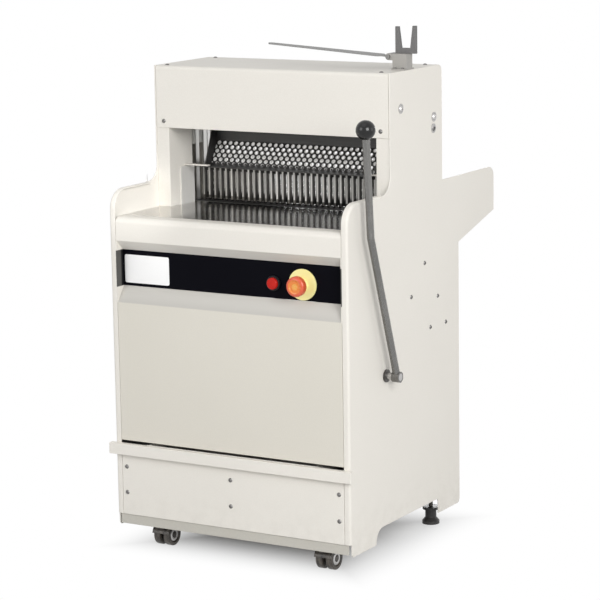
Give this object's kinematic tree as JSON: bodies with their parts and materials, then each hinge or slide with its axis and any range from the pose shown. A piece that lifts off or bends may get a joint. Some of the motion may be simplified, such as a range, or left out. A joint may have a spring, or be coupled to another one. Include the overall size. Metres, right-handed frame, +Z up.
{
  "type": "bread slicer machine",
  "caption": "Free-standing bakery bread slicer: feed table, lever-driven pusher, two counter-moving blade frames, crumb drawer, controls, bagging set, casters and feet.",
  "frame": {"origin": "centre of the whole part's box, on the floor", "axes": "+X to the operator's right, where the lever is; +Y to the rear, the outlet; +Z up"},
  "size_m": [0.657, 0.7182, 1.165],
  "materials": {
    "cream_paint": "satin powder coat",
    "beige_paint": "satin powder coat",
    "polished_steel": "polished",
    "blade_steel": "ground",
    "grey_paint": "satin paint",
    "light_alloy": "satin",
    "machined_steel": "machined",
    "cast_grey": "painted casting",
    "black_gloss": "glossy",
    "knob_black": "glossy",
    "dark_plastic": "moulded",
    "red_plastic": "glossy",
    "orange_plastic": "glossy",
    "yellow_plastic": "glossy",
    "rubber_black": "matte",
    "screw_steel": "darkened"
  },
  "bodies": {
    "cabinet": {"left_side_panel": "cream_paint", "right_side_panel": "cream_paint", "hood": "cream_paint", "column_liners": "cream_paint", "rear_jambs": "cream_paint", "feed_table": "polished_steel", "outlet_table": "polished_steel", "front_apron": "cream_paint", "control_panel": "black_gloss", "front_cover": "beige_paint", "plinth_panel": "cream_paint", "base_pan": "cream_paint", "rear_panel": "cream_paint", "outlet_skirt": "cream_paint", "cover_screws": "screw_steel", "loaf_guard": "grey_paint", "guard_brackets": "cream_paint", "side_guides": "polished_steel", "frame_guides": "dark_plastic", "crank_bearings": "cast_grey", "lever_bushes": "dark_plastic", "motor": "cast_grey", "drive_belt": "rubber_black", "drawer_runners": "machined_steel", "pusher_rods": "polished_steel", "rod_brackets": "machined_steel", "estop_collar": "yellow_plastic", "button_bezel": "light_alloy", "bag_bracket": "grey_paint", "bag_fork": "grey_paint", "tongue_pin": "machined_steel", "caster_plates": "machined_steel", "cable_gland": "dark_plastic"},
    "lever": {"lever_rod": "polished_steel", "ball_knob": "knob_black", "lever_shaft": "machined_steel", "lever_arms": "machined_steel"},
    "pusher": {"pusher_fingers": "light_alloy", "pusher_frame": "light_alloy", "pusher_carriage": "machined_steel"},
    "front_blade_set": {"blade_frame_front": "grey_paint", "blades_front": "blade_steel"},
    "rear_blade_set": {"blade_frame_rear": "grey_paint", "blades_rear": "blade_steel"},
    "crank": {"crankshaft": "machined_steel", "crank_pulley": "cast_grey"},
    "front_conrod": {"conrod_front": "machined_steel"},
    "rear_conrod": {"conrod_rear": "machined_steel"},
    "motor_drive": {"motor_pulley": "cast_grey"},
    "drawer": {"crumb_drawer": "cream_paint"},
    "emergency_stop": {"estop_head": "orange_plastic"},
    "push_button": {"red_button": "red_plastic"},
    "tongue": {"bag_tongue": "grey_paint"},
    "left_caster": {"left_caster_fork": "dark_plastic"},
    "left_wheels": {"left_caster_wheels": "dark_plastic"},
    "right_caster": {"right_caster_fork": "dark_plastic"},
    "right_wheels": {"right_caster_wheels": "dark_plastic"},
    "left_levelling_foot": {"left_foot": "rubber_black"},
    "right_levelling_foot": {"right_foot": "rubber_black"}
  },
  "joints": [
    {"name": "lever_swing", "type": "hinge", "parent": "cabinet", "child": "lever", "pos_m": [-0.0195, -0.17985, 0.418], "axis": [-1, 0, 0], "range_deg": [0, 40]},
    {"name": "pusher_slide", "type": "slide", "parent": "cabinet", "child": "pusher", "axis": [0, 1, 0], "range_m": [0, 0.2024]},
    {"name": "front_blades_slide", "type": "slide", "parent": "cabinet", "child": "front_blade_set", "axis": [0, 0, 1], "range_m": [-0.017, 0.017]},
    {"name": "rear_blades_slide", "type": "slide", "parent": "cabinet", "child": "rear_blade_set", "axis": [0, 0, 1], "range_m": [-0.017, 0.017]},
    {"name": "crank_spin", "type": "hinge", "parent": "cabinet", "child": "crank", "pos_m": [-0.0195, 0.00115, 0.41], "axis": [1, 0, 0], "continuous": true},
    {"name": "front_conrod_pivot", "type": "hinge", "parent": "crank", "child": "front_conrod", "pos_m": [-0.0795, -0.01585, 0.41], "axis": [1, 0, 0], "continuous": true},
    {"name": "rear_conrod_pivot", "type": "hinge", "parent": "crank", "child": "rear_conrod", "pos_m": [0.0405, 0.01815, 0.41], "axis": [1, 0, 0], "continuous": true},
    {"name": "motor_spin", "type": "hinge", "parent": "cabinet", "child": "motor_drive", "pos_m": [0.2195, 0.08515, 0.152], "axis": [1, 0, 0], "continuous": true},
    {"name": "drawer_slide", "type": "slide", "parent": "cabinet", "child": "drawer", "axis": [0, -1, 0], "range_m": [0, 0.3]},
    {"name": "estop_push", "type": "slide", "parent": "cabinet", "child": "emergency_stop", "axis": [0, 1, 0], "range_m": [0, 0.005], "stiffness_N_per_m": 800},
    {"name": "button_push", "type": "slide", "parent": "cabinet", "child": "push_button", "axis": [0, 1, 0], "range_m": [0, 0.004], "stiffness_N_per_m": 500},
    {"name": "tongue_fold", "type": "hinge", "parent": "cabinet", "child": "tongue", "pos_m": [0.2345, -0.05535, 1.098], "axis": [0, 1, 0], "range_deg": [0, 80]},
    {"name": "left_caster_swivel", "type": "hinge", "parent": "cabinet", "child": "left_caster", "pos_m": [-0.2295, -0.29985, 0.078], "axis": [0, 0, 1], "continuous": true},
    {"name": "left_wheels_roll", "type": "hinge", "parent": "left_caster", "child": "left_wheels", "pos_m": [-0.2295, -0.28185, 0.025], "axis": [1, 0, 0], "continuous": true},
    {"name": "left_foot_turn", "type": "hinge", "parent": "cabinet", "child": "left_levelling_foot", "pos_m": [-0.2595, 0.14515, 0.06], "axis": [0, 0, 1], "range_deg": [-180, 180]},
    {"name": "right_caster_swivel", "type": "hinge", "parent": "cabinet", "child": "right_caster", "pos_m": [0.1905, -0.29985, 0.078], "axis": [0, 0, 1], "continuous": true},
    {"name": "right_wheels_roll", "type": "hinge", "parent": "right_caster", "child": "right_wheels", "pos_m": [0.1905, -0.28185, 0.025], "axis": [1, 0, 0], "continuous": true},
    {"name": "right_foot_turn", "type": "hinge", "parent": "cabinet", "child": "right_levelling_foot", "pos_m": [0.2205, 0.14515, 0.06], "axis": [0, 0, 1], "range_deg": [-180, 180]}
  ],
  "couplings": [
    {"joint": "pusher_slide", "follows": "lever_swing", "m_per_rad": 0.2899},
    {"joint": "rear_blades_slide", "follows": "front_blades_slide", "ratio": -1},
    {"joint": "front_conrod_pivot", "follows": "crank_spin", "ratio": -1},
    {"joint": "rear_conrod_pivot", "follows": "crank_spin", "ratio": -1},
    {"joint": "motor_spin", "follows": "crank_spin", "ratio": 2.7857}
  ]
}
